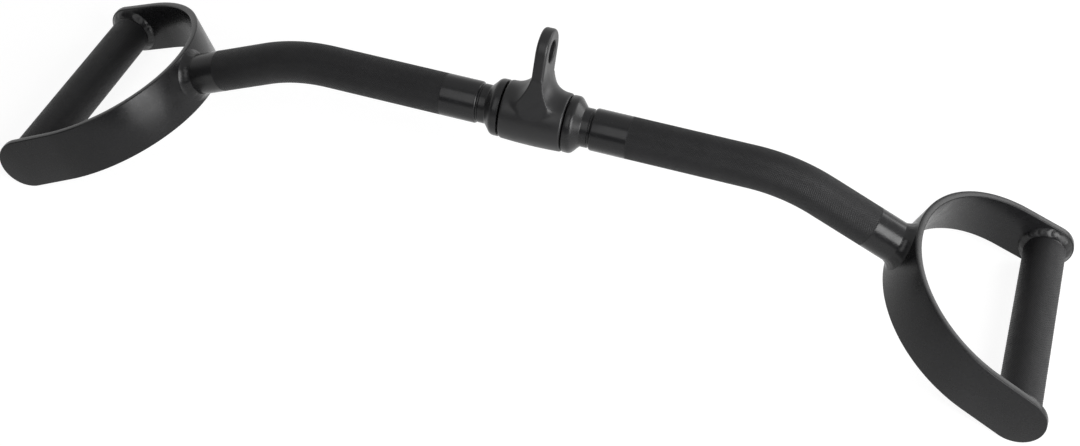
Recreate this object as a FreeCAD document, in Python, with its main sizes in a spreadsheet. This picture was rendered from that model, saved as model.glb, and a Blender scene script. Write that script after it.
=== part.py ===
import FreeCAD, Part
import math
import os
import Sketcher

# Lat pulldown bar. A straight middle, turned down once at each end, carries a D-shaped neutral grip on
# each end and hangs from a swivelling hanger at its centre. Millimetres, +Z up. The origin lies on the
# surface that the bar stands on, under its centre. X runs along the bar and Y along the grips. The left
# end is the right end turned half way round Z.

SIZES = {
    # Arms: one steel tube on each side, bent once.
    "tube_diameter": 30.0,
    "tube_wall": 3.0,
    "arm_inner_length": 180.0,     # bar's centre to the corner of the bend
    "arm_end_length": 91.0,        # corner of the bend to the strap
    "arm_bend_angle": 24.6,
    "arm_bend_radius": 120.0,      # of the tube's centre line
    "tube_end_chamfer": 1.8,       # outer edge of the tube where it meets the end fitting
    # Straps: flat bar bent to a D, with rounded ends.
    "strap_width": 40.0,
    "strap_thickness": 5.0,
    "strap_bend_radius": 87.0,     # outer face, at the closed end
    "strap_flare_angle": 5.0,      # how far each leg opens from the end's axis
    "strap_edge_chamfer": 0.8,
    "handle_depth": 109.0,         # strap's outer face to the grip's axis
    # Grips: tube between the legs of each strap.
    "grip_diameter": 30.0,
    "grip_wall": 3.0,
    # Weld beads at the straps, and the root beads between the end fittings and the tubes.
    "weld_leg": 4.2,
    "weld_offset": 1.5,            # from the corner that a bead fills back to the bead's centre
    "root_gap": 1.0,
    "root_bead_depth": 0.7,        # below the neck
    # Hanger: cast barrel and lug.
    "barrel_length": 45.0,
    "barrel_end_diameter": 41.4,
    "barrel_crown": 0.7,           # height of the middle over the ends
    "barrel_end_chamfer": 1.0,
    "lug_thickness": 8.5,
    "lug_width": 32.0,
    "lug_edge_round": 2.0,
    "lug_root_radius": 15.0,
    "eye_height": 48.0,            # bar's axis to the eye's centre
    "eye_diameter": 16.0,
    "eye_rim_round": 1.2,
    "hanger_lean_angle": 20.0,     # how it lies over when nothing pulls on it
    # Spindle and bushes.
    "spindle_diameter": 16.0,
    "spindle_chamfer": 1.0,
    "bush_wall": 1.0,
    "bush_length": 17.0,
    "flange_diameter": 24.0,
    "flange_thickness": 1.0,
    "running_clearance": 0.05,     # radial, between spindle and bush
    "end_play": 0.1,               # between each flange and its end fitting
    # End fittings: collar, neck and spigot turned in one piece.
    "collar_diameter": 40.6,
    "collar_length": 10.8,
    "collar_edge_round": 3.0,
    "neck_diameter": 27.8,
    "neck_length": 5.5,
    "neck_chamfer": 0.5,
    "spigot_length": 25.0,
    "spigot_chamfer": 1.5,
    # Reach of a cutting shape past what it cuts, and how near two lengths count as equal.
    "overrun": 10.0,
    "match_tolerance": 0.001,
}

SIDES = (("right", 0), ("left", 180))


def half(alias):
    return f"(Sheet.{alias} / 2)"


# Places along the bar from its centre, and radii about its axis.
BARREL_END_X = half("barrel_length")
FLANGE_END_X = f"({BARREL_END_X} + Sheet.flange_thickness)"
COLLAR_X = f"({FLANGE_END_X} + Sheet.end_play)"
NECK_X = f"({COLLAR_X} + Sheet.collar_length)"
SHOULDER_X = f"({NECK_X} + Sheet.neck_length)"
TUBE_END_X = f"({SHOULDER_X} + Sheet.root_gap)"
SPIGOT_END_X = f"({SHOULDER_X} + Sheet.spigot_length)"
TUBE_BORE_R = f"({half('tube_diameter')} - Sheet.tube_wall)"
BUSH_BORE_R = f"({half('spindle_diameter')} + Sheet.running_clearance)"
BARREL_BORE_R = f"({BUSH_BORE_R} + Sheet.bush_wall)"

# Places in an end's own frame: origin at the corner of the bend, X out along the end, Z across the strap.
GRIP_X = "(Sheet.arm_end_length + Sheet.handle_depth)"
STRAP_CENTRE_X = "(Sheet.arm_end_length + Sheet.strap_bend_radius)"

# The bar stands on the round ends of its straps, each of which touches beside its inner edge chamfer.
STRAP_END_DROP = (
    "(sqrt(cos(Sheet.arm_bend_angle) ^ 2 + (cos(Sheet.strap_flare_angle) * sin(Sheet.arm_bend_angle)) ^ 2)"
    f" * {half('strap_width')})"
)
INNER_EDGE_DROP = (
    f"(({half('strap_thickness')} - Sheet.strap_edge_chamfer)"
    " * sin(Sheet.strap_flare_angle) * sin(Sheet.arm_bend_angle))"
)
HUB_Z = f"({GRIP_X} * sin(Sheet.arm_bend_angle) + {STRAP_END_DROP} + {INNER_EDGE_DROP})"

document = FreeCAD.newDocument("lat_pulldown_bar")
sheet = document.addObject("Spreadsheet::Sheet", "Sheet")
for row, (alias, value) in enumerate(SIZES.items(), start=1):
    sheet.set(f"A{row}", alias)
    sheet.set(f"B{row}", str(value))
    sheet.setAlias(f"B{row}", alias)
document.recompute()

sub_parts = []


def number(expression):
    return float(sheet.evalExpression(expression))


def point(x, y):
    return FreeCAD.Vector(number(x), number(y), 0)


def hub_frame(yaw, roll="0"):
    """Origin at the bar's centre, X along the bar."""
    return f"placement(vector(0; 0; {HUB_Z}); rotation({yaw}; 0; {roll}))"


def end_frame(yaw):
    corner = f"vector(Sheet.arm_inner_length * cos({yaw}); 0; {HUB_Z})"
    return f"placement({corner}; rotation({yaw}; Sheet.arm_bend_angle; 0))"


def leg_y(x, depth="0"):
    """Distance from the end's axis, at x, to a leg's outer face, or to a surface at this depth under it."""
    flare = "Sheet.strap_flare_angle"
    return f"((Sheet.strap_bend_radius - {depth} + sin({flare}) * ({x} - {STRAP_CENTRE_X})) / cos({flare}))"


def new_body(label, frame):
    body = document.addObject("PartDesign::Body", label)
    body.setExpression("Placement", frame)
    sub_parts.append(body)
    return body


def new_sketch(body, name, role, height="0"):
    """A sketch on one of the body's own planes, raised from it by height."""
    plane = next(feature for feature in body.Origin.OriginFeatures if feature.Role == role)
    sketch = body.newObject("Sketcher::SketchObject", f"{body.Label}_{name}")
    sketch.AttachmentSupport = (plane, [""])
    sketch.MapMode = "FlatFace"
    sketch.setExpression("AttachmentOffset.Base.z", height)
    return sketch


def bind(sketch, kind, edge, vertex, expression):
    terms = (kind, edge, number(expression)) if vertex is None else (kind, edge, vertex, number(expression))
    index = sketch.addConstraint(Sketcher.Constraint(*terms))
    sketch.setExpression(f"Constraints[{index}]", expression)


def draw_circle(sketch, x, y, radius):
    circle = Part.Circle(point(x, y), FreeCAD.Vector(0, 0, 1), number(radius))
    edge = sketch.addGeometry(circle, False)
    bind(sketch, "DistanceX", edge, 3, x)
    bind(sketch, "DistanceY", edge, 3, y)
    bind(sketch, "Radius", edge, None, radius)


def arc_through(start, end, centre, turn):
    """Arc from start to end, anticlockwise for a turn of 1 and clockwise for -1."""
    first, last = (start, end) if turn > 0 else (end, start)
    angles = [math.atan2(place.y - centre.y, place.x - centre.x) for place in (first, last)]
    circle = Part.Circle(centre, FreeCAD.Vector(0, 0, 1), start.distanceToPoint(centre))
    return Part.ArcOfCircle(circle, *angles)


def draw_path(sketch, corners, closed=True):
    """Edges between corners, each (x, y), or (x, y, (centre x, centre y), turn) at the end of an arc."""
    edges = []
    for index in range(0 if closed else 1, len(corners)):
        start, end = point(*corners[index - 1][:2]), point(*corners[index][:2])
        vertices = (1, 2)
        if len(corners[index]) == 2:
            edge = sketch.addGeometry(Part.LineSegment(start, end), False)
        else:
            centre, turn = corners[index][2:]
            edge = sketch.addGeometry(arc_through(start, end, point(*centre), turn), False)
            vertices = (1, 2) if turn > 0 else (2, 1)
            if abs(end.x - start.x) > abs(end.y - start.y):
                bind(sketch, "DistanceY", edge, 3, centre[1])
            else:
                bind(sketch, "DistanceX", edge, 3, centre[0])
        bind(sketch, "DistanceX", edge, vertices[1], corners[index][0])
        bind(sketch, "DistanceY", edge, vertices[1], corners[index][1])
        edges.append((edge, *vertices))
    followers = edges if closed else edges[1:]
    for (edge, start, _), (before, _, end) in zip(followers, edges[-1:] + edges[:-1] if closed else edges):
        sketch.addConstraint(Sketcher.Constraint("Coincident", before, end, edge, start))
    if not closed:
        bind(sketch, "DistanceX", edges[0][0], edges[0][1], corners[0][0])
        bind(sketch, "DistanceY", edges[0][0], edges[0][1], corners[0][1])


def pad(body, sketch, length):
    feature = body.newObject("PartDesign::Pad", f"{sketch.Label}_pad")
    feature.Profile = sketch
    feature.SideType = "Symmetric"
    feature.setExpression("Length", length)
    return feature


def cut_through(body, sketch, side="Symmetric"):
    """Cuts both ways from the sketch, or one way only: along its normal or against it."""
    feature = body.newObject("PartDesign::Pocket", f"{sketch.Label}_cut")
    feature.Profile = sketch
    feature.Type = "ThroughAll"
    feature.SideType = "Symmetric" if side == "Symmetric" else "One side"
    feature.Reversed = side == "Along"
    return feature


def revolve(body, sketch):
    feature = body.newObject("PartDesign::Revolution", f"{sketch.Label}_turned")
    feature.Profile = sketch
    feature.ReferenceAxis = (sketch, ["H_Axis"])
    feature.Angle = 360
    return feature


def ease_edges(body, base, kind, size, wanted):
    """A Fillet of that radius, or a Chamfer of that size, on each edge that wanted(edge) is true for."""
    document.recompute()
    names = [f"Edge{index}" for index, edge in enumerate(base.Shape.Edges, start=1) if wanted(edge)]
    feature = body.newObject(f"PartDesign::{kind}", f"{base.Label}_eased")
    feature.Base = (base, names)
    feature.setExpression("Radius" if kind == "Fillet" else "Size", size)
    return feature


def same(first, second):
    return abs(first - second) < number("Sheet.match_tolerance")


def is_circle(edge, radius, centre):
    curve = edge.Curve
    return (
        isinstance(curve, Part.Circle)
        and same(curve.Radius, number(radius))
        and curve.Center.distanceToPoint(centre) < number("Sheet.match_tolerance")
    )


def make_arm(side, yaw):
    """Bent tube, coped at its outer end to the strap's curve."""
    arm = new_body(f"{side}_arm", end_frame(yaw))
    bend, radius = "Sheet.arm_bend_angle", "Sheet.arm_bend_radius"
    tangent = f"({radius} * tan({bend} / 2))"
    inner = f"(Sheet.arm_inner_length - {TUBE_END_X})"
    outer = "(Sheet.arm_end_length + Sheet.overrun)"
    hub_end = (f"-{inner} * cos({bend})", f"-{inner} * sin({bend})")
    path = new_sketch(arm, "path", "XZ_Plane")
    draw_path(
        path,
        [
            (outer, "0"),
            (tangent, "0"),
            (f"-{tangent} * cos({bend})", f"-{tangent} * sin({bend})", (tangent, f"-{radius}"), 1),
            hub_end,
        ],
        closed=False,
    )
    section = new_sketch(arm, "section", "YZ_Plane", outer)
    draw_circle(section, "0", "0", half("tube_diameter"))
    draw_circle(section, "0", "0", TUBE_BORE_R)
    tube = arm.newObject("PartDesign::AdditivePipe", f"{side}_tube")
    tube.Profile = section
    tube.Spine = (path, ["Edge1", "Edge2", "Edge3"])
    cope = new_sketch(arm, "cope", "XY_Plane")
    draw_circle(cope, STRAP_CENTRE_X, "0", "Sheet.strap_bend_radius")
    coped = cut_through(arm, cope)
    centre = FreeCAD.Vector(number(hub_end[0]), 0, number(hub_end[1]))

    def at_hub_end(edge):
        return is_circle(edge, half("tube_diameter"), centre)

    ease_edges(arm, coped, "Chamfer", "Sheet.tube_end_chamfer", at_hub_end)


def make_strap(side, yaw):
    """Flat bar bent to a D with opening legs, its two ends rounded about the grip."""
    strap = new_body(f"{side}_strap", end_frame(yaw))
    flare = "Sheet.strap_flare_angle"
    centre = (STRAP_CENTRE_X, "0")
    past_x = f"({GRIP_X} + {half('strap_width')} + Sheet.overrun)"

    def face(depth):
        radius = f"(Sheet.strap_bend_radius - {depth})"
        start_x = f"({STRAP_CENTRE_X} - {radius} * sin({flare}))"
        return start_x, f"{radius} * cos({flare})", leg_y(past_x, depth)

    outer_x, outer_y, outer_end_y = face("0")
    inner_x, inner_y, inner_end_y = face("Sheet.strap_thickness")
    band = new_sketch(strap, "band", "XY_Plane")
    draw_path(
        band,
        [
            (outer_x, outer_y),
            (outer_x, f"-{outer_y}", centre, 1),
            (past_x, f"-{outer_end_y}"),
            (past_x, f"-{inner_end_y}"),
            (inner_x, f"-{inner_y}"),
            (inner_x, inner_y, centre, -1),
            (past_x, inner_end_y),
            (past_x, outer_end_y),
        ],
    )
    rounded = pad(strap, band, "Sheet.strap_width")
    # Along a leg, measured from the foot of the perpendicular through the end frame's origin.
    edge_z, past_z = half("strap_width"), f"({half('strap_width')} + Sheet.overrun)"
    grip_x = f"({GRIP_X} * cos({flare}) + {leg_y(GRIP_X, half('strap_thickness'))} * sin({flare}))"
    far_x = f"({grip_x} + {half('strap_width')} + 2 * Sheet.overrun)"
    for name, leg, side_cut in (("rear_end", 1, "Against"), ("front_end", -1, "Along")):
        end = new_sketch(strap, name, "XZ_Plane")
        end.setExpression("AttachmentOffset.Rotation", f"rotation(0; {leg} * {flare}; 0)")
        draw_path(
            end,
            [
                (grip_x, f"-{edge_z}"),
                (grip_x, edge_z, (grip_x, "0"), 1),
                (grip_x, past_z),
                (far_x, past_z),
                (far_x, f"-{past_z}"),
                (grip_x, f"-{past_z}"),
            ],
        )
        rounded = cut_through(strap, end, side_cut)

    def on_rim(edge):
        across_the_width = isinstance(edge.Curve, Part.Line) and same(abs(edge.Curve.Direction.z), 1)
        through_the_thickness = edge.Length < 2 * number("Sheet.strap_thickness")
        return not across_the_width and not through_the_thickness

    ease_edges(strap, rounded, "Chamfer", "Sheet.strap_edge_chamfer", on_rim)


def make_grip(side, yaw):
    """Tube across the open end of the strap, mitred to the slope of the legs."""
    grip = new_body(f"{side}_grip", end_frame(yaw))
    section = new_sketch(grip, "section", "XZ_Plane")
    draw_circle(section, GRIP_X, "0", half("grip_diameter"))
    draw_circle(section, GRIP_X, "0", f"({half('grip_diameter')} - Sheet.grip_wall)")
    near_x = f"({GRIP_X} - {half('grip_diameter')} - Sheet.overrun)"
    far_x = f"({GRIP_X} + {half('grip_diameter')} + Sheet.overrun)"
    near_y, far_y = (leg_y(x, "Sheet.strap_thickness") for x in (near_x, far_x))
    past_y = f"({far_y} + Sheet.overrun)"
    pad(grip, section, f"2 * {past_y}")
    for name, sign in (("rear_mitre", ""), ("front_mitre", "-")):
        mitre = new_sketch(grip, name, "XY_Plane")
        draw_path(
            mitre,
            [
                (near_x, sign + near_y),
                (far_x, sign + far_y),
                (far_x, sign + past_y),
                (near_x, sign + past_y),
            ],
        )
        cut_through(grip, mitre)


def make_end_fitting(side, yaw):
    """Collar that tapers to the neck, and spigot pressed into the tube, bored for the spindle."""
    fitting = new_body(f"{side}_end_fitting", hub_frame(yaw))
    collar_r, neck_r, bore_r = half("collar_diameter"), half("neck_diameter"), half("spindle_diameter")
    cone_x = f"({NECK_X} - {collar_r} + {neck_r})"
    chamfer = "Sheet.spigot_chamfer"
    profile = new_sketch(fitting, "profile", "XZ_Plane")
    draw_path(
        profile,
        [
            (COLLAR_X, bore_r),
            (COLLAR_X, collar_r),
            (cone_x, collar_r),
            (NECK_X, neck_r),
            (f"({SHOULDER_X} - Sheet.neck_chamfer)", neck_r),
            (SHOULDER_X, f"({neck_r} - Sheet.neck_chamfer)"),
            (SHOULDER_X, TUBE_BORE_R),
            (f"({SPIGOT_END_X} - {chamfer})", TUBE_BORE_R),
            (SPIGOT_END_X, f"({TUBE_BORE_R} - {chamfer})"),
            (SPIGOT_END_X, bore_r),
        ],
    )
    turned = revolve(fitting, profile)
    cone_centre = FreeCAD.Vector(number(cone_x), 0, 0)

    def at_cone_rim(edge):
        return is_circle(edge, collar_r, cone_centre)

    ease_edges(fitting, turned, "Fillet", "Sheet.collar_edge_round", at_cone_rim)


def make_root_weld(side, yaw):
    """Bead in the groove between the end fitting's shoulder and the tube."""
    weld = new_body(f"{side}_root_weld", hub_frame(yaw))
    bead_r = f"({half('neck_diameter')} - Sheet.root_bead_depth)"
    profile = new_sketch(weld, "profile", "XZ_Plane")
    draw_path(
        profile,
        [
            (SHOULDER_X, TUBE_BORE_R),
            (SHOULDER_X, bead_r),
            (TUBE_END_X, bead_r),
            (TUBE_END_X, TUBE_BORE_R),
        ],
    )
    revolve(weld, profile)


def make_bush(side, yaw):
    """Flanged plain bush, pressed into the barrel with its flange against the barrel's end."""
    bush = new_body(f"{side}_bush", hub_frame(yaw))
    inner_x = f"({BARREL_END_X} - Sheet.bush_length)"
    profile = new_sketch(bush, "profile", "XZ_Plane")
    draw_path(
        profile,
        [
            (inner_x, BUSH_BORE_R),
            (inner_x, BARREL_BORE_R),
            (BARREL_END_X, BARREL_BORE_R),
            (BARREL_END_X, half("flange_diameter")),
            (FLANGE_END_X, half("flange_diameter")),
            (FLANGE_END_X, BUSH_BORE_R),
        ],
    )
    revolve(bush, profile)


def make_spindle():
    """Plain shaft through the hanger, pressed into both end fittings."""
    spindle = new_body("spindle", hub_frame(0))
    radius, chamfer = half("spindle_diameter"), "Sheet.spindle_chamfer"
    profile = new_sketch(spindle, "profile", "XZ_Plane")
    draw_path(
        profile,
        [
            (f"-{SPIGOT_END_X}", "0"),
            (f"-{SPIGOT_END_X}", f"({radius} - {chamfer})"),
            (f"({chamfer} - {SPIGOT_END_X})", radius),
            (f"({SPIGOT_END_X} - {chamfer})", radius),
            (SPIGOT_END_X, f"({radius} - {chamfer})"),
            (SPIGOT_END_X, "0"),
        ],
    )
    revolve(spindle, profile)


def make_hanger():
    """Casting: a slightly barrelled sleeve and an upright lug with an eye, blended at the root."""
    hanger = new_body("hanger", hub_frame(0, "-Sheet.hanger_lean_angle"))
    end_r, crown = half("barrel_end_diameter"), "Sheet.barrel_crown"
    crown_radius = f"(({BARREL_END_X} ^ 2 + {crown} ^ 2) / (2 * {crown}))"
    profile = new_sketch(hanger, "barrel", "XZ_Plane")
    draw_path(
        profile,
        [
            (f"-{BARREL_END_X}", "0"),
            (f"-{BARREL_END_X}", end_r),
            (BARREL_END_X, end_r, ("0", f"({end_r} + {crown} - {crown_radius})"), -1),
            (BARREL_END_X, "0"),
        ],
    )
    barrel = revolve(hanger, profile)
    end_x = number(BARREL_END_X)

    def at_barrel_end(edge):
        return any(is_circle(edge, end_r, FreeCAD.Vector(x, 0, 0)) for x in (end_x, -end_x))

    ease_edges(hanger, barrel, "Chamfer", "Sheet.barrel_end_chamfer", at_barrel_end)
    side_y, foot_z = half("lug_width"), f"({BARREL_BORE_R} + {half('lug_edge_round')})"
    lug = new_sketch(hanger, "lug", "YZ_Plane")
    draw_path(
        lug,
        [
            (side_y, foot_z),
            (side_y, "Sheet.eye_height"),
            (f"-{side_y}", "Sheet.eye_height", ("0", "Sheet.eye_height"), 1),
            (f"-{side_y}", foot_z),
        ],
    )
    plate = pad(hanger, lug, "Sheet.lug_thickness")
    plate_x = number(half("lug_thickness"))
    barrel_top = number(f"{end_r} + {crown}")

    def on_plate_face(edge):
        on_face = all(same(abs(vertex.X), plate_x) for vertex in edge.Vertexes)
        return on_face and edge.BoundBox.ZMax > barrel_top

    softened = ease_edges(hanger, plate, "Fillet", "Sheet.lug_edge_round", on_plate_face)

    def at_root(edge):
        middle = edge.valueAt((edge.FirstParameter + edge.LastParameter) / 2)
        radius = math.hypot(middle.y, middle.z)
        on_barrel = number(end_r) - number(crown) < radius < barrel_top + number(crown)
        return on_barrel and middle.z > 0 and abs(middle.x) < plate_x + number("Sheet.match_tolerance")

    ease_edges(hanger, softened, "Fillet", "Sheet.lug_root_radius", at_root)
    eye = new_sketch(hanger, "eye", "YZ_Plane")
    draw_circle(eye, "0", "Sheet.eye_height", half("eye_diameter"))
    pierced = cut_through(hanger, eye)
    eye_centre = FreeCAD.Vector(0, 0, number("Sheet.eye_height"))

    def at_eye_rim(edge):
        return any(
            is_circle(edge, half("eye_diameter"), eye_centre + FreeCAD.Vector(x, 0, 0))
            for x in (plate_x, -plate_x)
        )

    ease_edges(hanger, pierced, "Fillet", "Sheet.eye_rim_round", at_eye_rim)
    bore = new_sketch(hanger, "bore", "YZ_Plane")
    draw_circle(bore, "0", "0", BARREL_BORE_R)
    cut_through(hanger, bore)


def primitive(kind, label, frame, **sizes):
    shape = document.addObject(f"Part::{kind}", label)
    for name, expression in sizes.items():
        shape.setExpression(name, expression)
    shape.setExpression("Placement", frame)
    return shape


def cut(label, base, tool):
    result = document.addObject("Part::Cut", label)
    result.Base = base
    result.Tool = tool
    return result


def make_bead(label, frame, joint_r, wall, rod):
    """Ring of weld round a rod of radius joint_r where it meets a wall. The frame's origin is on the rod's
    axis in the wall's face, and its Z leaves the wall."""
    offset = "Sheet.weld_offset"
    ring = primitive(
        "Torus",
        f"{label}_ring",
        f"{frame} * placement(vector(0; 0; -{offset}); rotation(0; 0; 0))",
        Radius1=f"{joint_r} - {offset}",
        Radius2=f"sqrt((Sheet.weld_leg + {offset}) ^ 2 + {offset} ^ 2)",
    )
    sub_parts.append(cut(label, cut(f"{label}_off_wall", ring, wall), rod))


def make_strap_weld(side, yaw):
    label = f"{side}_strap_weld"
    end = end_frame(yaw)
    length = "(Sheet.tube_diameter + 2 * Sheet.weld_leg + Sheet.overrun)"
    wall = primitive(
        "Cylinder",
        f"{label}_wall",
        f"{end} * placement(vector({STRAP_CENTRE_X}; 0; -{length} / 2); rotation(0; 0; 0))",
        Radius="Sheet.strap_bend_radius",
        Height=length,
    )
    rod = primitive(
        "Cylinder",
        f"{label}_rod",
        f"{end} * placement(vector(0; 0; 0); rotation(0; 90; 0))",
        Radius=half("tube_diameter"),
        Height=STRAP_CENTRE_X,
    )
    face = f"{end} * placement(vector(Sheet.arm_end_length; 0; 0); rotation(0; -90; 0))"
    make_bead(label, face, half("tube_diameter"), wall, rod)


def make_grip_weld(side, yaw, leg):
    """Leg is 1 for the leg on the end's +Y side and -1 for the other."""
    place = "rear" if (leg > 0) == (yaw == 0) else "front"
    label = f"{side}_{place}_grip_weld"
    end = end_frame(yaw)
    inner_y = leg_y(GRIP_X, "Sheet.strap_thickness")
    face = f"{end} * placement(vector({GRIP_X}; {leg} * {inner_y}; 0); rotation(0; 0; {leg} * 90))"
    face = f"{face} * placement(vector(0; 0; 0); rotation(0; Sheet.strap_flare_angle; 0))"
    size = f"(Sheet.grip_diameter + 2 * Sheet.weld_leg + Sheet.overrun)"
    wall = primitive(
        "Box",
        f"{label}_wall",
        f"{face} * placement(vector(-{size} / 2; -{size} / 2; -{size}); rotation(0; 0; 0))",
        Length=size,
        Width=size,
        Height=size,
    )
    rod = primitive(
        "Cylinder",
        f"{label}_rod",
        f"{end} * placement(vector({GRIP_X}; -{inner_y} - {size}; 0); rotation(0; 0; -90))",
        Radius=half("grip_diameter"),
        Height=f"2 * ({inner_y} + {size})",
    )
    make_bead(label, face, half("grip_diameter"), wall, rod)


def check():
    for item in document.Objects:
        if {"Invalid", "Error"} & set(item.State):
            raise RuntimeError(f"{item.Label} failed: {item.State}")
    for piece in sub_parts:
        shape = piece.Shape
        if shape.isNull() or not shape.isValid() or len(shape.Solids) != 1 or shape.Volume <= 0:
            raise RuntimeError(f"{piece.Label} isn't one sound solid")


make_spindle()
make_hanger()
for side, yaw in SIDES:
    make_bush(side, yaw)
    make_end_fitting(side, yaw)
    make_arm(side, yaw)
    make_root_weld(side, yaw)
    make_strap(side, yaw)
    make_strap_weld(side, yaw)
    make_grip(side, yaw)
    for leg in (1, -1):
        make_grip_weld(side, yaw, leg)
document.recompute()
check()

os.makedirs("parts", exist_ok=True)
for piece in sub_parts:
    piece.Shape.exportStep(f"parts/{piece.Label}.step")
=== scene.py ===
import math

import bmesh
import bpy
from mathutils import Matrix, Vector


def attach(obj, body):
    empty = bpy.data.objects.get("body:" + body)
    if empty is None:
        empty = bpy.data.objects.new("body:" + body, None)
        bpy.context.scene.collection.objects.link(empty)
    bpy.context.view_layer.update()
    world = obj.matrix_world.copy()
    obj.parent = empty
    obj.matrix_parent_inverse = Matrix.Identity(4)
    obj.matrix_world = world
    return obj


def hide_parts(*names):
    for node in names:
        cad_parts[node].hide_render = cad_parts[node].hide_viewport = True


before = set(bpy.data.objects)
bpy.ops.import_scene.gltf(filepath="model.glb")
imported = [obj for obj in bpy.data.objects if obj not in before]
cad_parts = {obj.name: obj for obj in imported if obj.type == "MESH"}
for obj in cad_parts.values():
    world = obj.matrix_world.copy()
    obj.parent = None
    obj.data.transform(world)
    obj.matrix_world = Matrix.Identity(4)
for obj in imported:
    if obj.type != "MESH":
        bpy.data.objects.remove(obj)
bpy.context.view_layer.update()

# Camera. A long lens from the front and well above, a little to the right, turned slightly about its own
# axis so that the bar falls away to the right across the picture.
MM = 0.001
VIEW_AZIMUTH = math.radians(15.53)
VIEW_ELEVATION = math.radians(43.08)
VIEW_ROLL = math.radians(3.25)
VIEW_DISTANCE = 1321.5 * MM
VIEW_TARGET = Vector((6.86, 0, 3.03)) * MM
SENSOR_WIDTH_MM = 36
LENS_MM = 60.07

towards_camera = Vector((
    math.sin(VIEW_AZIMUTH) * math.cos(VIEW_ELEVATION),
    -math.cos(VIEW_AZIMUTH) * math.cos(VIEW_ELEVATION),
    math.sin(VIEW_ELEVATION),
))
level_right = Vector((math.cos(VIEW_AZIMUTH), math.sin(VIEW_AZIMUTH), 0))
level_up = towards_camera.cross(level_right)
right = level_right * math.cos(VIEW_ROLL) + level_up * math.sin(VIEW_ROLL)
up = level_up * math.cos(VIEW_ROLL) - level_right * math.sin(VIEW_ROLL)
bpy.ops.object.camera_add()
camera = bpy.context.object
camera.name = "camera"
camera.matrix_world = (
    Matrix.Translation(VIEW_TARGET + towards_camera * VIEW_DISTANCE)
    @ Matrix((right, up, towards_camera)).transposed().to_4x4()
)
camera.data.sensor_fit = "HORIZONTAL"
camera.data.sensor_width = SENSOR_WIDTH_MM
camera.data.lens = LENS_MM
bpy.context.scene.camera = camera


# Stage. A matt white floor in a plain white room with four softboxes. The room is a little darker overhead
# and dark grey in front, so that the black coat has something to mirror.
def linear(colour):
    """An sRGB hex colour as linear RGBA."""
    shares = [int(colour[at:at + 2], 16) / 255 for at in (1, 3, 5)]
    return [s / 12.92 if s <= 0.04045 else ((s + 0.055) / 1.055) ** 2.4 for s in shares] + [1]


def add(tree, kind, settings=None, **inputs):
    """Adds a node. settings are its properties. An input is a number, a colour or a socket to link from;
    its name has _ for each space, and a trailing digit counts among inputs of one name."""
    node = tree.nodes.new(kind)
    for name, value in (settings or {}).items():
        setattr(node, name, value)
    for name, value in inputs.items():
        count = int(name[-1]) if name[-1].isdigit() else 0
        label = name.rstrip("0123456789").replace("_", " ")
        socket = [s for s in node.inputs if s.name == label and s.enabled][count]
        if isinstance(value, bpy.types.NodeSocket):
            tree.links.new(value, socket)
        else:
            socket.default_value = value
    return node


def empty_tree(owner):
    """The node tree of a material or a world, switched on and emptied."""
    owner.use_nodes = True
    owner.node_tree.nodes.clear()
    return owner.node_tree


def is_looked_at(tree):
    """1 where the camera sees a thing, straight, mirrored or through something clear, and 0 where the thing
    only lights others."""
    ray = add(tree, "ShaderNodeLightPath").outputs
    looked_at = ray["Is Camera Ray"]
    for kind in ("Is Glossy Ray", "Is Transmission Ray"):
        looked_at = add(tree, "ShaderNodeMath", {"operation": "MAXIMUM"},
                        Value=looked_at, Value1=ray[kind]).outputs[0]
    return looked_at


# The floor's paint throws light back on the bar as FLOOR_WHITE. Looked at, it is a fainter paint, which
# still takes the bar's shadow, under a steady white glow.
FLOOR_SIDE = 24
FLOOR_WHITE = "#D2D2D1"
FLOOR_FAINT = "#7C7C7C"
FLOOR_GLOW = "#FFFFFF"
FLOOR_LIFT = 0.9

bpy.ops.mesh.primitive_plane_add(size=FLOOR_SIDE)
floor = bpy.context.object
floor.name = "studio_floor"
matt_white = bpy.data.materials.new("studio_floor_matte_white")
tree = empty_tree(matt_white)
looked_at = is_looked_at(tree)
paint = add(tree, "ShaderNodeBsdfDiffuse", Color=linear(FLOOR_WHITE)).outputs[0]
faint_paint = add(tree, "ShaderNodeBsdfDiffuse", Color=linear(FLOOR_FAINT)).outputs[0]
glow = add(tree, "ShaderNodeEmission", Color=linear(FLOOR_GLOW), Strength=FLOOR_LIFT).outputs[0]
lifted = add(tree, "ShaderNodeAddShader", Shader=faint_paint, Shader1=glow).outputs[0]
mixed = add(tree, "ShaderNodeMixShader", Fac=looked_at, Shader=paint, Shader1=lifted).outputs[0]
add(tree, "ShaderNodeOutputMaterial", Surface=mixed)
floor.data.materials.append(matt_white)

# The room. Its colour changes with the direction looked in: HIGH_FROM to HIGH_TO is how steeply up that
# points, and FRONT_FROM to FRONT_TO how far to the front. As a light the room has only ROOM_FILL of the
# strength that it is seen with.
ROOM_LOW = "#FFFFFF"
ROOM_HIGH = "#E4E4E4"
ROOM_FRONT = "#6C6C6E"
ROOM_FILL = 0.25
HIGH_FROM = 0.1
HIGH_TO = 0.6
FRONT_FROM = 0.1
FRONT_TO = -0.5

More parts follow.
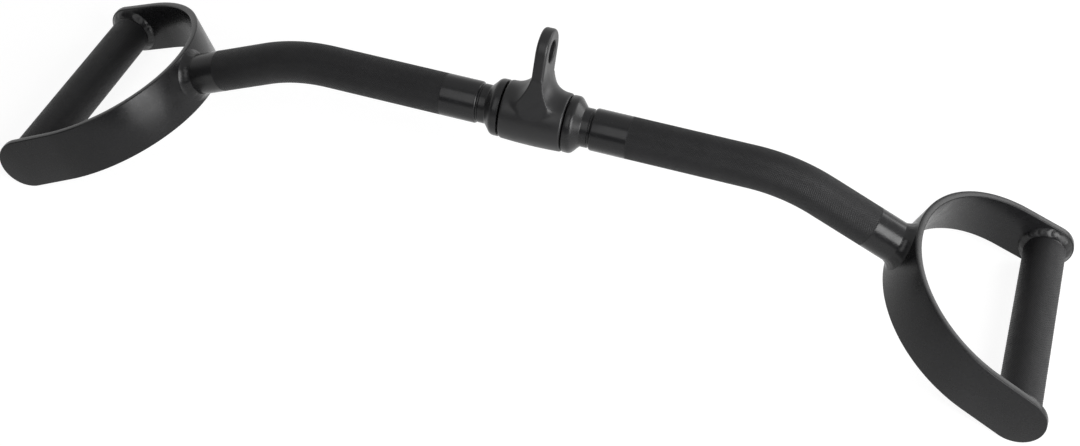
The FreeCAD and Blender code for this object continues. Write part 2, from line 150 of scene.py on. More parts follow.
room = bpy.data.worlds.new("white_studio")
bpy.context.scene.world = room
tree = empty_tree(room)
looked_at = is_looked_at(tree)
direction = add(tree, "ShaderNodeTexCoord").outputs["Generated"]
share = add(tree, "ShaderNodeSeparateXYZ", Vector=direction).outputs
overhead = add(tree, "ShaderNodeMapRange", {"interpolation_type": "SMOOTHSTEP"},
               Value=share["Z"], From_Min=HIGH_FROM, From_Max=HIGH_TO).outputs[0]
in_front = add(tree, "ShaderNodeMapRange", {"interpolation_type": "SMOOTHSTEP"},
               Value=share["Y"], From_Min=FRONT_FROM, From_Max=FRONT_TO).outputs[0]
back_half = add(tree, "ShaderNodeMix", {"data_type": "RGBA"},
                Factor=overhead, A=linear(ROOM_LOW), B=linear(ROOM_HIGH)).outputs["Result"]
all_round = add(tree, "ShaderNodeMix", {"data_type": "RGBA"},
                Factor=in_front, A=back_half, B=linear(ROOM_FRONT)).outputs["Result"]
strength = add(tree, "ShaderNodeMapRange", Value=looked_at, To_Min=ROOM_FILL, To_Max=1).outputs[0]
light = add(tree, "ShaderNodeBackground", Color=all_round, Strength=strength).outputs[0]
add(tree, "ShaderNodeOutputWorld", Surface=light)

# Softboxes: place, width and height in metres, and watts. Each faces the middle of the bar.
SOFTBOXES = {
    "key_softbox": ((0.88, -0.62, 0.75), 0.62, 0.7, 12.5),
    "side_softbox": ((1.3, -0.6, 0.32), 1.0, 0.6, 10),
    "fill_softbox": ((-0.35, -1.5, 1.71), 1.1, 1.8, 12),
    "back_softbox": ((1.4, 1.0, 0.6), 1.1, 0.8, 9),
}
for name, (place, width, height, watts) in SOFTBOXES.items():
    bpy.ops.object.light_add(type="AREA", location=place)
    lamp = bpy.context.object
    lamp.name = name
    lamp.data.shape = "RECTANGLE"
    lamp.data.size = width
    lamp.data.size_y = height
    lamp.data.energy = watts
    lamp.rotation_euler = Vector(place).to_track_quat("Z", "Y").to_euler()

bpy.context.scene.view_settings.view_transform = "Standard"


# Arms. One round steel tube on each side, bent down once over a roller and coped at its outer end to fit
# the strap. Most of its length is finely knurled, and the plain ends keep the smooth gloss of the coat.
def open_alone(piece):
    """Selects a piece alone and, in edit mode, all of its vertices."""
    bpy.ops.object.select_all(action="DESELECT")
    piece.select_set(True)
    bpy.context.view_layer.objects.active = piece
    bpy.ops.object.mode_set(mode="EDIT")
    bpy.ops.mesh.select_mode(type="VERT")
    bpy.ops.mesh.select_all(action="SELECT")


def start(name, operator, **settings):
    """A new piece from a primitive, with its place in its mesh, opened for editing."""
    bpy.ops.object.select_all(action="DESELECT")
    operator(**settings)
    piece = bpy.context.object
    piece.name = name
    piece.data.name = name
    bpy.ops.object.transform_apply(location=True, rotation=True, scale=True)
    open_alone(piece)
    return piece


def pick(piece, kind, wanted):
    """In edit mode, selects only the vertices, edges or faces that wanted says yes to."""
    bpy.ops.mesh.select_mode(type=kind)
    bpy.ops.mesh.select_all(action="DESELECT")
    mesh = bmesh.from_edit_mesh(piece.data)
    for element in {"VERT": mesh.verts, "EDGE": mesh.edges, "FACE": mesh.faces}[kind]:
        if wanted(element):
            element.select_set(True)
    mesh.select_flush_mode()
    bmesh.update_edit_mesh(piece.data)


def draw_out(step):
    """Extrudes what is selected and moves it by step."""
    bpy.ops.mesh.extrude_region_move(TRANSFORM_OT_translate={"value": step})


def draw_ring(here, there):
    """Draws the selected ring out along the bar's axis and makes it wider or narrower. Each end is an x and
    a radius."""
    x, radius = here
    next_x, next_radius = there
    draw_out((next_x - x, 0, 0))
    scale = next_radius / radius
    bpy.ops.transform.resize(value=(1, scale, scale), center_override=(next_x, 0, HUB_Z))


def finish(piece, coats, body, node, crease=30):
    """Ends the edit, shades the piece smooth up to a crease in degrees, coats it, and lets it stand for its
    CAD node."""
    bpy.ops.object.mode_set(mode="OBJECT")
    bpy.ops.object.shade_smooth_by_angle(angle=math.radians(crease))
    for skin in coats:
        piece.data.materials.append(skin)
    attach(piece, body)
    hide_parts(node)


def copy_of(piece, name):
    """A copy of a piece with its own mesh, which rides on nothing and stands for nothing yet."""
    copy = piece.copy()
    copy.data = piece.data.copy()
    copy.name = name
    copy.data.name = name
    bpy.context.scene.collection.objects.link(copy)
    copy.parent = None
    copy.matrix_world = Matrix.Identity(4)
    for key in list(copy.keys()):
        del copy[key]
    return copy


def twin(piece, name, turn, body, node):
    """A second piece like this one, turned to its own place by a matrix."""
    other = copy_of(piece, name)
    other.data.transform(turn)
    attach(other, body)
    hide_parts(node)
    return other


# The left half of the bar is its right half turned half round. Vertices closer than MERGE are made one, and
# a place within NEAR of a plane lies on it.
HALF_TURN = Matrix.Rotation(math.pi, 4, "Z")
MERGE = 0.001 * MM
NEAR = 0.01 * MM

HUB_Z = 103.3047 * MM
TUBE_RADIUS = 15 * MM
TUBE_BORE_RADIUS = 12 * MM
TUBE_START_X = 40.9 * MM
TUBE_LIP = 1.8 * MM
LIP_STEPS = 4
BEND_ANGLE = math.radians(24.6)
BEND_RADIUS = 120 * MM
BEND_CORNER_X = 180 * MM
BORE_BEND_STEPS = 24

# The end past the bend has a frame of its own, with its x along the tube from the bend's corner. The strap's
# outer face crosses that axis at STRAP_X and curves away on both sides at STRAP_BEND_RADIUS.
STRAP_X = 91 * MM
STRAP_BEND_RADIUS = 87 * MM

bend_tangent = BEND_RADIUS * math.tan(BEND_ANGLE / 2)
bend_start_x = BEND_CORNER_X - bend_tangent
bend_centre = Vector((bend_start_x, 0, HUB_Z - BEND_RADIUS))
end_axis = Vector((math.cos(BEND_ANGLE), 0, -math.sin(BEND_ANGLE)))
END_FRAME = Matrix.Translation((BEND_CORNER_X, 0, HUB_Z)) @ Matrix.Rotation(BEND_ANGLE, 4, "Y")
BACK_FROM_END = END_FRAME.inverted()

# The knurling is a grid of rows and columns 0.83 mm apart with every second crossing rolled in, which leaves
# diamonds 1.7 mm across. A fine knurl's are nearer 1 mm, and these are drawn as coarse as they need to show.
KNURL_COLUMNS = 112
KNURL_ROWS_BEFORE = 104
KNURL_ROWS_BEND = 62
KNURL_ROWS_AFTER = 48
KNURL_DEPTH = 0.18 * MM
ARM_KNURL_ROWS = KNURL_ROWS_BEFORE + KNURL_ROWS_BEND + KNURL_ROWS_AFTER
knurl_step = BEND_RADIUS * BEND_ANGLE / KNURL_ROWS_BEND


def strap_face_x(y):
    """How far out along the end's axis the strap's outer face lies, at y across it."""
    return STRAP_X + STRAP_BEND_RADIUS - math.sqrt(STRAP_BEND_RADIUS ** 2 - y ** 2)


def on_arm(place):
    """A point's distance along the right arm from where its knurling starts, its angle round the tube and
    its distance from the tube's axis."""
    bend = math.atan2(place.x - bend_centre.x, place.z - bend_centre.z)
    if bend <= 0:
        past_bend_start = place.x - bend_start_x
        across, rise = place.y, place.z - HUB_Z
    elif bend < BEND_ANGLE:
        past_bend_start = BEND_RADIUS * bend
        across = place.y
        rise = math.hypot(place.x - bend_centre.x, place.z - bend_centre.z) - BEND_RADIUS
    else:
        local = BACK_FROM_END @ place
        past_bend_start = BEND_RADIUS * BEND_ANGLE + local.x - bend_tangent
        across, rise = local.y, local.z
    distance = KNURL_ROWS_BEFORE * knurl_step + past_bend_start
    return distance, math.atan2(across, rise), math.hypot(across, rise)


def knurl_cell(vertex, on_tube, rows):
    """The row and column of a vertex on a tube's knurled skin, or None elsewhere. on_tube is a function such
    as on_arm."""
    distance, angle, from_axis = on_tube(vertex.co)
    row = round(distance / knurl_step)
    if 0 <= row <= rows and from_axis > (TUBE_RADIUS + TUBE_BORE_RADIUS) / 2:
        return row, round(angle / math.tau * KNURL_COLUMNS)
    return None


def is_rolled_in(vertex, on_tube, rows):
    """Whether a vertex is one of the crossings that the knurling wheel presses in."""
    cell = knurl_cell(vertex, on_tube, rows)
    return cell is not None and 0 < cell[0] < rows and sum(cell) % 2 == 1


def pick_knurl(piece, on_tube, rows):
    """Selects the faces of a tube's knurled skin."""
    pick(piece, "FACE", lambda face: all(knurl_cell(v, on_tube, rows) for v in face.verts))


def roll_knurl(piece, on_tube, rows):
    """Presses every second crossing of the grid in and splits each face along the groove between its two
    pressed corners, so that small diamonds are left standing."""
    pick(piece, "VERT", lambda vertex: is_rolled_in(vertex, on_tube, rows))
    bpy.ops.transform.shrink_fatten(value=-KNURL_DEPTH)
    pick_knurl(piece, on_tube, rows)
    bpy.ops.mesh.quads_convert_to_tris(quad_method="SHORTEST_DIAGONAL")


def coat_knurl(piece, on_tube, rows):
    """Gives a finished tube's knurled skin sharp facets and the second of the tube's coats."""
    bpy.ops.object.mode_set(mode="EDIT")
    pick_knurl(piece, on_tube, rows)
    bpy.ops.mesh.faces_shade_flat()
    piece.active_material_index = 1
    bpy.ops.object.material_slot_assign()
    bpy.ops.object.mode_set(mode="OBJECT")


def run_along_arm(start_x, rows_before, bend_steps, rows_after):
    """Draws the selected ring out along the arm and round its bend, with rows of the knurling's grid before
    and after the bend, to where the end is coped."""
    draw_out((bend_start_x - rows_before * knurl_step - start_x, 0, 0))
    if rows_before:
        bpy.ops.mesh.extrude_repeat(steps=rows_before, offset=(knurl_step, 0, 0))
    bpy.ops.mesh.spin(steps=bend_steps, angle=-BEND_ANGLE, center=bend_centre, axis=(0, 1, 0))
    if rows_after:
        bpy.ops.mesh.extrude_repeat(steps=rows_after, offset=end_axis * knurl_step)
    draw_out(end_axis * (STRAP_X - bend_tangent - rows_after * knurl_step))


def at_tube_start(place):
    return abs(place.x - TUBE_START_X) < NEAR


def at_tube_end(place):
    return abs((BACK_FROM_END @ place).x - STRAP_X) < NEAR


lip_angles = [math.pi / 2 * step / LIP_STEPS for step in range(LIP_STEPS + 1)]
lip = [
    (TUBE_START_X + TUBE_LIP * (1 - math.cos(angle)), TUBE_RADIUS - TUBE_LIP * (1 - math.sin(angle)))
    for angle in lip_angles
]
arm = start("arm_tube_right", bpy.ops.mesh.primitive_circle_add, vertices=KNURL_COLUMNS,
            radius=TUBE_RADIUS - TUBE_LIP, location=(TUBE_START_X, 0, HUB_Z), rotation=(0, math.pi / 2, 0))
for here, there in zip(lip, lip[1:]):
    draw_ring(here, there)
run_along_arm(TUBE_START_X + TUBE_LIP, KNURL_ROWS_BEFORE, KNURL_ROWS_BEND, KNURL_ROWS_AFTER)
bpy.ops.mesh.select_all(action="DESELECT")
bpy.ops.mesh.primitive_circle_add(vertices=KNURL_COLUMNS, radius=TUBE_BORE_RADIUS,
                                  location=(TUBE_START_X, 0, HUB_Z), rotation=(0, math.pi / 2, 0))
run_along_arm(TUBE_START_X, 0, BORE_BEND_STEPS, 0)
for is_end in (at_tube_start, at_tube_end):
    pick(arm, "EDGE", lambda edge: edge.is_boundary and all(is_end(v.co) for v in edge.verts))
    bpy.ops.mesh.bridge_edge_loops()
mesh = bmesh.from_edit_mesh(arm.data)
for vertex in mesh.verts:
    if at_tube_end(vertex.co):
        vertex.co += end_axis * (strap_face_x(vertex.co.y) - STRAP_X)
bmesh.update_edit_mesh(arm.data)
bpy.ops.mesh.select_all(action="SELECT")
bpy.ops.mesh.remove_doubles(threshold=MERGE)
bpy.ops.mesh.normals_make_consistent(inside=False)
roll_knurl(arm, on_arm, ARM_KNURL_ROWS)

# The coat on all the steel is one black polyester powder coat, baked on. It melts to a skin with a faint
# orange peel, in which highlights waver, and it is a little paler and smeared where hands have rubbed it.
# Each pair of FROM and TO is the range of a noise over which the coat changes.
COAT_BLACK = "#161617"
COAT_RUBBED = "#1B1B1C"
KNURL_BLACK = "#171718"
KNURL_RUBBED = "#1D1D1E"
RUBBED_PATCH = 35 * MM
RUBBED_FROM = 0.35
RUBBED_TO = 0.7
SMEAR = 9 * MM
SMEAR_FROM = 0.3
SMEAR_TO = 0.7
SMEAR_GLOSSIER = 0.05
SMEAR_DULLER = 0.06
COAT_IOR = 1.5


def black_skin(name, roughness, mirror, peel, grain, black=COAT_BLACK, rubbed=COAT_RUBBED):
    """A black coat or plastic. mirror is its specular level. Peel is its slow waviness and grain the fine
    one, each a wavelength and a height in millimetres. Real grain is nearer 0.2 mm, and is drawn coarser so
    that it shows."""
    peel_length, peel_height = peel
    grain_length, grain_height = grain
    material = bpy.data.materials.new(name)
    tree = empty_tree(material)
    place = add(tree, "ShaderNodeTexCoord").outputs["Object"]
    patches = add(tree, "ShaderNodeTexNoise", Vector=place, Scale=1 / RUBBED_PATCH,
                  Detail=4, Roughness=0.6).outputs["Fac"]
    rubbing = add(tree, "ShaderNodeMapRange", Value=patches,
                  From_Min=RUBBED_FROM, From_Max=RUBBED_TO).outputs[0]
    tint = add(tree, "ShaderNodeMix", {"data_type": "RGBA"},
               Factor=rubbing, A=linear(black), B=linear(rubbed)).outputs["Result"]
    smears = add(tree, "ShaderNodeTexNoise", Vector=place, Scale=1 / SMEAR,
                 Detail=5, Roughness=0.65).outputs["Fac"]
    dullness = add(tree, "ShaderNodeMapRange", Value=smears, From_Min=SMEAR_FROM, From_Max=SMEAR_TO,
                   To_Min=roughness - SMEAR_GLOSSIER, To_Max=roughness + SMEAR_DULLER).outputs[0]
    waves = add(tree, "ShaderNodeTexNoise", Vector=place, Scale=1 / (peel_length * MM),
                Detail=2).outputs["Fac"]
    wavy = add(tree, "ShaderNodeBump", Height=waves, Distance=peel_height * MM, Strength=1).outputs[0]
    specks = add(tree, "ShaderNodeTexNoise", Vector=place, Scale=1 / (grain_length * MM),
                 Detail=3).outputs["Fac"]
    skin = add(tree, "ShaderNodeBump", Height=specks, Distance=grain_height * MM, Strength=1,
               Normal=wavy).outputs[0]
    shader = add(tree, "ShaderNodeBsdfPrincipled", Base_Color=tint, Roughness=dullness, IOR=COAT_IOR,
                 Specular_IOR_Level=mirror, Normal=skin).outputs[0]
    add(tree, "ShaderNodeOutputMaterial", Surface=shader)
    return material


# On plain tube the coat keeps its gloss, and a narrow soft stripe of light runs along it. On the knurling it
# is broken up by the facets to an even, dull black.
gloss_coat = black_skin("black_powder_coat_on_plain_tube", roughness=0.24, mirror=0.3,
                        peel=(3.5, 0.01), grain=(0.9, 0.002))
knurl_coat = black_skin("black_powder_coat_on_knurling", roughness=0.45, mirror=0.22,
                        peel=(3.0, 0.02), grain=(0.5, 0.02), black=KNURL_BLACK, rubbed=KNURL_RUBBED)
finish(arm, (gloss_coat, knurl_coat), "bar", "right_arm")
coat_knurl(arm, on_arm, ARM_KNURL_ROWS)
twin(arm, "arm_tube_left", HALF_TURN, "bar", "left_arm")


# Straps. Flat steel bar, 40 by 5 mm, cut with round ends, its edges broken, and bent cold round a former
# into a D whose legs open a little. The arm butts against the middle of the bend.
STRAP_WIDTH = 40 * MM
STRAP_THICKNESS = 5 * MM
STRAP_BEND_ANGLE = math.radians(170)
STRAP_EDGE_ROUND = 0.8 * MM
STRAP_EDGE_STEPS = 3
STRAP_ROUND_STEPS = 96
STRAP_CUTS = 86
SHARP_CORNER = math.radians(60)
GRIP_X = 200 * MM

strap_mid_radius = STRAP_BEND_RADIUS - STRAP_THICKNESS / 2
half_arc = strap_mid_radius * STRAP_BEND_ANGLE / 2
leg_flare = math.pi / 2 - STRAP_BEND_ANGLE / 2
leg_start_x = STRAP_X + STRAP_THICKNESS / 2 + strap_mid_radius * (1 - math.sin(leg_flare))
half_flat = half_arc + (GRIP_X - leg_start_x) / math.cos(leg_flare)

# It is made flat first, with y through its thickness, from a disc turned by half a step, so that no vertex
# lies on the line where its halves are pulled apart. Cuts across the stretch that bends let it curl evenly.
strap = start("strap_right", bpy.ops.mesh.primitive_circle_add, vertices=STRAP_ROUND_STEPS,
              radius=STRAP_WIDTH / 2, fill_type="NGON", rotation=(math.pi / 2, 0, 0))
bpy.ops.transform.rotate(value=math.pi / STRAP_ROUND_STEPS, orient_axis="Y", center_override=(0, 0, 0))
for side in (1, -1):
    pick(strap, "VERT", lambda vertex: vertex.co.x * side > 0)
    bpy.ops.transform.translate(value=(half_flat * side, 0, 0))
bpy.ops.mesh.select_all(action="SELECT")
bpy.ops.transform.translate(value=(0, -STRAP_THICKNESS / 2, 0))
draw_out((0, STRAP_THICKNESS, 0))
bpy.ops.mesh.select_all(action="SELECT")
bpy.ops.mesh.normals_make_consistent(inside=False)
pick(strap, "EDGE", lambda edge: abs(edge.calc_face_angle(0)) > SHARP_CORNER)
bpy.ops.mesh.bevel(offset=STRAP_EDGE_ROUND, segments=STRAP_EDGE_STEPS, affect="EDGES")
for cut in range(STRAP_CUTS):
    cut_x = half_arc * (2 * cut / (STRAP_CUTS - 1) - 1)
    bpy.ops.mesh.select_all(action="SELECT")
    bpy.ops.mesh.bisect(plane_co=(cut_x, 0, 0), plane_no=(1, 0, 0))
bpy.ops.object.mode_set(mode="OBJECT")
curl = strap.modifiers.new("curl", "SIMPLE_DEFORM")
curl.deform_method = "BEND"
curl.deform_axis = "Z"
curl.angle = STRAP_BEND_ANGLE
whole_length = 2 * half_flat + STRAP_WIDTH
curl.limits = (0.5 - half_arc / whole_length, 0.5 + half_arc / whole_length)
bpy.ops.object.modifier_apply(modifier=curl.name)
strap.data.transform(
    END_FRAME
    @ Matrix.Translation((STRAP_X + STRAP_THICKNESS / 2, 0, 0))
    @ Matrix.Rotation(-math.pi / 2, 4, "Z")
)
# On rolled flat bar the coat lies smoothest, with broad soft reflections that follow the bend.
strap_coat = black_skin("black_powder_coat_on_flat_bar", roughness=0.27, mirror=0.25,
                        peel=(6, 0.016), grain=(0.9, 0.002))
finish(strap, (strap_coat,), "bar", "right_strap")
twin(strap, "strap_left", HALF_TURN, "bar", "left_strap")


# Grips. The same steel tube as the arms, knurled, and mitred at both ends to lie flat against the strap's
# legs. The hand holds it along its whole length, so the knurling runs almost to the beads.
GRIP_KNURL_ROWS = 188
GRIP_OVERLENGTH = 8 * MM

strap_inner_radius = STRAP_BEND_RADIUS - STRAP_THICKNESS
past_strap_centre = GRIP_X - STRAP_X - STRAP_BEND_RADIUS
leg_inner_y = (strap_inner_radius + math.sin(leg_flare) * past_strap_centre) / math.cos(leg_flare)
grip_knurl_half = GRIP_KNURL_ROWS * knurl_step / 2
grip_reach = leg_inner_y + GRIP_OVERLENGTH


def on_grip(place):
    """What on_arm gives, for the right grip as it lies in the end's frame, along y."""
    across, rise = place.x - GRIP_X, place.z
    return place.y + grip_knurl_half, math.atan2(across, rise), math.hypot(across, rise)


grip = start("grip_tube_right", bpy.ops.mesh.primitive_circle_add, vertices=KNURL_COLUMNS,
             radius=TUBE_RADIUS, location=(GRIP_X, -grip_reach, 0), rotation=(math.pi / 2, 0, 0))
draw_out((0, grip_reach - grip_knurl_half, 0))
bpy.ops.mesh.extrude_repeat(steps=GRIP_KNURL_ROWS, offset=(0, knurl_step, 0))
draw_out((0, grip_reach - grip_knurl_half, 0))
bpy.ops.mesh.select_all(action="DESELECT")
bpy.ops.mesh.primitive_circle_add(vertices=KNURL_COLUMNS, radius=TUBE_BORE_RADIUS,
                                  location=(GRIP_X, -grip_reach, 0), rotation=(math.pi / 2, 0, 0))
draw_out((0, 2 * grip_reach, 0))
for side in (1, -1):
    bpy.ops.mesh.select_all(action="SELECT")
    bpy.ops.mesh.bisect(
        plane_co=(GRIP_X, side * leg_inner_y, 0),
        plane_no=(-math.sin(leg_flare), side * math.cos(leg_flare), 0),
        clear_outer=True,
    )
    pick(grip, "EDGE", lambda edge: (
        edge.is_boundary and all(v.co.y * side > grip_knurl_half for v in edge.verts)
    ))
    bpy.ops.mesh.bridge_edge_loops()
bpy.ops.mesh.select_all(action="SELECT")
bpy.ops.mesh.normals_make_consistent(inside=False)
roll_knurl(grip, on_grip, GRIP_KNURL_ROWS)
finish(grip, (gloss_coat, knurl_coat), "bar", "right_grip")
coat_knurl(grip, on_grip, GRIP_KNURL_ROWS)
grip.data.transform(END_FRAME)
twin(grip, "grip_tube_left", HALF_TURN, "bar", "left_grip")


# Fillet beads. One run of steel weld round each arm where it meets its strap, and round each end of each
# grip, laid in small overlapping crescents and then coated with the rest. Round the arms it is washed out
# longer along the tube and left slightly hollow.
WELD_LEG = 4.2 * MM
ARM_WELD_LEG = 6 * MM
GRIP_BEAD_CROWN = 0.4 * MM
ARM_BEAD_HOLLOW = 0.8 * MM
BEAD_ROOT = 0.5 * MM
BEAD_STEPS = 360
BEAD_FACE_STEPS = 12

# The crescents: how far apart they are, how high, how far their middles trail, in radians, and the level
# about which they rise and fall. The lumps are the slow unevenness of a hand-laid run: their heights, their
# waves to a turn, and where they start, in radians.
CRESCENT_PITCH = 4.4 * MM
CRESCENT_HEIGHT = 0.1 * MM
CRESCENT_TRAIL = 2.2
CRESCENT_MEAN = 0.6
GRIP_BEAD_LUMP = 0.35 * MM
ARM_BEAD_LUMP = 0.25 * MM
SLOW_LUMPS = 3
QUICK_LUMPS = 7
LUMP_START = 1


def lay_bead(name, tube_leg, crown, lump_height, seat):
    """A bead round a tube of the arm's radius whose axis is X. It fills the corner between the tube and a
    wall beyond it in X, and seat is a function that gives the wall's X at a Y."""
    tube_toe = Vector((-tube_leg, TUBE_RADIUS))
    face = Vector((tube_leg, WELD_LEG))
    face_out = Vector((-face.y, face.x)).normalized()
    outline = []
    for step in range(BEAD_FACE_STEPS + 1):
        across = 2 * step / BEAD_FACE_STEPS - 1
        outline.append(tube_toe + face * (across + 1) / 2 + face_out * crown * (1 - across ** 2))
    outline.append(Vector((BEAD_ROOT, TUBE_RADIUS + WELD_LEG)))
    outline.append(Vector((BEAD_ROOT, TUBE_RADIUS - BEAD_ROOT)))
    outline.append(Vector((-tube_leg, TUBE_RADIUS - BEAD_ROOT)))

    bead = start(name, bpy.ops.mesh.primitive_circle_add, vertices=len(outline), radius=WELD_LEG)
    mesh = bmesh.from_edit_mesh(bead.data)
    for vertex, (x, radius) in zip(mesh.verts, reversed(outline)):
        vertex.co = (x, 0, radius)
    bmesh.update_edit_mesh(bead.data)
    bpy.ops.mesh.spin(steps=BEAD_STEPS, angle=math.tau, center=(0, 0, 0), axis=(1, 0, 0))
    bpy.ops.mesh.select_all(action="SELECT")
    bpy.ops.mesh.remove_doubles(threshold=NEAR)
    bpy.ops.mesh.normals_make_consistent(inside=False)

    crescents = round(math.tau * (TUBE_RADIUS + WELD_LEG / 2) / CRESCENT_PITCH)
    mesh = bmesh.from_edit_mesh(bead.data)
    for vertex in mesh.verts:
        angle = math.atan2(vertex.co.y, vertex.co.z)
        place = Vector((vertex.co.x, math.hypot(vertex.co.y, vertex.co.z)))
        if place.x < BEAD_ROOT / 2 and place.y > TUBE_RADIUS - BEAD_ROOT / 2:
            across = 2 * (place - tube_toe).dot(face) / face.length_squared - 1
            phase = crescents * angle + CRESCENT_TRAIL * across ** 2
            crest = abs(math.cos(phase / 2)) - CRESCENT_MEAN
            lump = math.sin(SLOW_LUMPS * angle + LUMP_START) * math.cos(QUICK_LUMPS * angle)
            push = face_out * (CRESCENT_HEIGHT * crest + lump_height * lump) * (1 - across ** 2)
            vertex.co.x += push.x
            vertex.co.y += push.y * math.sin(angle)
            vertex.co.z += push.y * math.cos(angle)
        vertex.co.x += seat(vertex.co.y)
    bmesh.update_edit_mesh(bead.data)
    return bead


# On weld the coat follows the crescents, and each of them catches a small glint.
bead_coat = black_skin("black_powder_coat_on_weld", roughness=0.28, mirror=0.3,
                       peel=(2.5, 0.016), grain=(0.7, 0.003))

strap_bead = lay_bead("strap_bead_right", ARM_WELD_LEG, -ARM_BEAD_HOLLOW, ARM_BEAD_LUMP, strap_face_x)
finish(strap_bead, (bead_coat,), "bar", "right_strap_weld")
strap_bead.data.transform(END_FRAME)
twin(strap_bead, "strap_bead_left", HALF_TURN, "bar", "left_strap_weld")

# The grip's own frame turns the bead's axis from X to Y: its wall is then the rear leg's inner face.
rear_seat = END_FRAME @ Matrix.Translation((GRIP_X, 0, 0)) @ Matrix.Rotation(math.pi / 2, 4, "Z")
front_from_rear = END_FRAME @ Matrix.Rotation(math.pi, 4, "X") @ BACK_FROM_END
grip_bead = lay_bead("rear_grip_bead_right", WELD_LEG, GRIP_BEAD_CROWN, GRIP_BEAD_LUMP,
                     lambda y: leg_inner_y - math.tan(leg_flare) * y)
finish(grip_bead, (bead_coat,), "bar", "right_rear_grip_weld")
grip_bead.data.transform(rear_seat)
front_bead = twin(grip_bead, "front_grip_bead_right", front_from_rear,
                  "bar", "right_front_grip_weld")
twin(grip_bead, "front_grip_bead_left", HALF_TURN, "bar", "left_front_grip_weld")
twin(front_bead, "rear_grip_bead_left", HALF_TURN, "bar", "left_rear_grip_weld")


# End fittings. Turned from steel bar: a collar that closes off the hanger's barrel and tapers to a short
# neck, and a spigot pressed into the arm. A spindle runs through the middle of both.
COLLAR_X = 23.6 * MM
COLLAR_RADIUS = 20.3 * MM
COLLAR_EDGE = 0.4 * MM
EDGE_MIDDLE_SHARE = 0.3
CONE_X = 28.8 * MM
CONE_END_X = 34.4 * MM
SHOULDER_ROUND = 4 * MM
NECK_FILLET = 1.5 * MM
NECK_RADIUS = 13.9 * MM
NECK_END_X = 39.9 * MM
NECK_EDGE = 0.5 * MM
SPIGOT_END_X = 64.9 * MM
SPIGOT_EDGE = 1.5 * MM
SPINDLE_RADIUS = 8 * MM
ROUND_STEPS = 8
LATHE_SEGMENTS = 128


def turn_on_lathe(name, profile):
    """A closed ring-shaped solid about the bar's axis from its profile, a list of x and radius."""
    first_x, first_radius = profile[0]
    piece = start(name, bpy.ops.mesh.primitive_circle_add, vertices=LATHE_SEGMENTS, radius=first_radius,
                  location=(first_x, 0, HUB_Z), rotation=(0, math.pi / 2, 0))
    for here, there in zip(profile, profile[1:] + profile[:1]):
        draw_ring(here, there)
    bpy.ops.mesh.select_all(action="SELECT")
    bpy.ops.mesh.remove_doubles(threshold=MERGE)
    bpy.ops.mesh.normals_make_consistent(inside=False)
    return piece


cone_slope = math.atan2(COLLAR_RADIUS - NECK_RADIUS, CONE_END_X - CONE_X)
slope_tangent = math.tan(cone_slope / 2)
slope_angles = [cone_slope * step / ROUND_STEPS for step in range(ROUND_STEPS + 1)]
shoulder = [
    (CONE_X - SHOULDER_ROUND * slope_tangent + SHOULDER_ROUND * math.sin(angle),
     COLLAR_RADIUS - SHOULDER_ROUND * (1 - math.cos(angle)))
    for angle in slope_angles
]
neck_fillet = [
    (CONE_END_X + NECK_FILLET * slope_tangent - NECK_FILLET * math.sin(angle),
     NECK_RADIUS + NECK_FILLET * (1 - math.cos(angle)))
    for angle in reversed(slope_angles)
]
fitting = turn_on_lathe("end_fitting_right", [
    (COLLAR_X, SPINDLE_RADIUS),
    (COLLAR_X, COLLAR_RADIUS - COLLAR_EDGE),
    (COLLAR_X + EDGE_MIDDLE_SHARE * COLLAR_EDGE, COLLAR_RADIUS - EDGE_MIDDLE_SHARE * COLLAR_EDGE),
    (COLLAR_X + COLLAR_EDGE, COLLAR_RADIUS),
    *shoulder,
    *neck_fillet,
    (NECK_END_X - NECK_EDGE, NECK_RADIUS),
    (NECK_END_X, NECK_RADIUS - NECK_EDGE),
    (NECK_END_X, TUBE_BORE_RADIUS),
    (SPIGOT_END_X - SPIGOT_EDGE, TUBE_BORE_RADIUS),
    (SPIGOT_END_X, TUBE_BORE_RADIUS - SPIGOT_EDGE),
    (SPIGOT_END_X, SPINDLE_RADIUS),
])
# On turned steel the coat is smooth, and thin lines of light run round the collar's edges.
turned_coat = black_skin("black_powder_coat_on_turned_steel", roughness=0.28, mirror=0.3,
                         peel=(3.5, 0.01), grain=(0.8, 0.002))
finish(fitting, (turned_coat,), "bar", "right_end_fitting")
twin(fitting, "end_fitting_left", HALF_TURN, "bar", "left_end_fitting")


# Root beads. A thin run of steel weld at the bottom of the groove between each neck and its arm, hollow
# across its face. It lies below both, so the groove still shows.
ROOT_DEPTH = 0.7 * MM
ROOT_HOLLOW = 0.1 * MM

root_bead = turn_on_lathe("root_bead_right", [
    (NECK_END_X, TUBE_BORE_RADIUS),
    (NECK_END_X, NECK_RADIUS - ROOT_DEPTH),
    ((NECK_END_X + TUBE_START_X) / 2, NECK_RADIUS - ROOT_DEPTH - ROOT_HOLLOW),
    (TUBE_START_X, NECK_RADIUS - ROOT_DEPTH),
    (TUBE_START_X, TUBE_BORE_RADIUS),
])
finish(root_bead, (bead_coat,), "bar", "right_root_weld")
twin(root_bead, "root_bead_left", HALF_TURN, "bar", "left_root_weld")


# Hanger. A short steel casting: a barrel that turns on the bushes, and a lug with the eye for the hook,
# grown out of the barrel through wide cast fillets. It is blasted, then coated like the bar.
HANGER_LEAN = math.radians(20)
BARREL_RADIUS = 21.4 * MM
LUG_HALF_WIDTH = 16 * MM
FOOT_TOP = 30 * MM
HANGER_VOXEL = 0.5 * MM
SOFTEN_FACTOR = 0.5
SOFTEN_ROUNDS = 6
HANGER_CREASE = 60

hanger = copy_of(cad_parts["hanger"], "hanger_casting")
hanger.data.materials.clear()
open_alone(hanger)
bpy.ops.mesh.remove_doubles(threshold=MERGE)
bpy.ops.object.mode_set(mode="OBJECT")

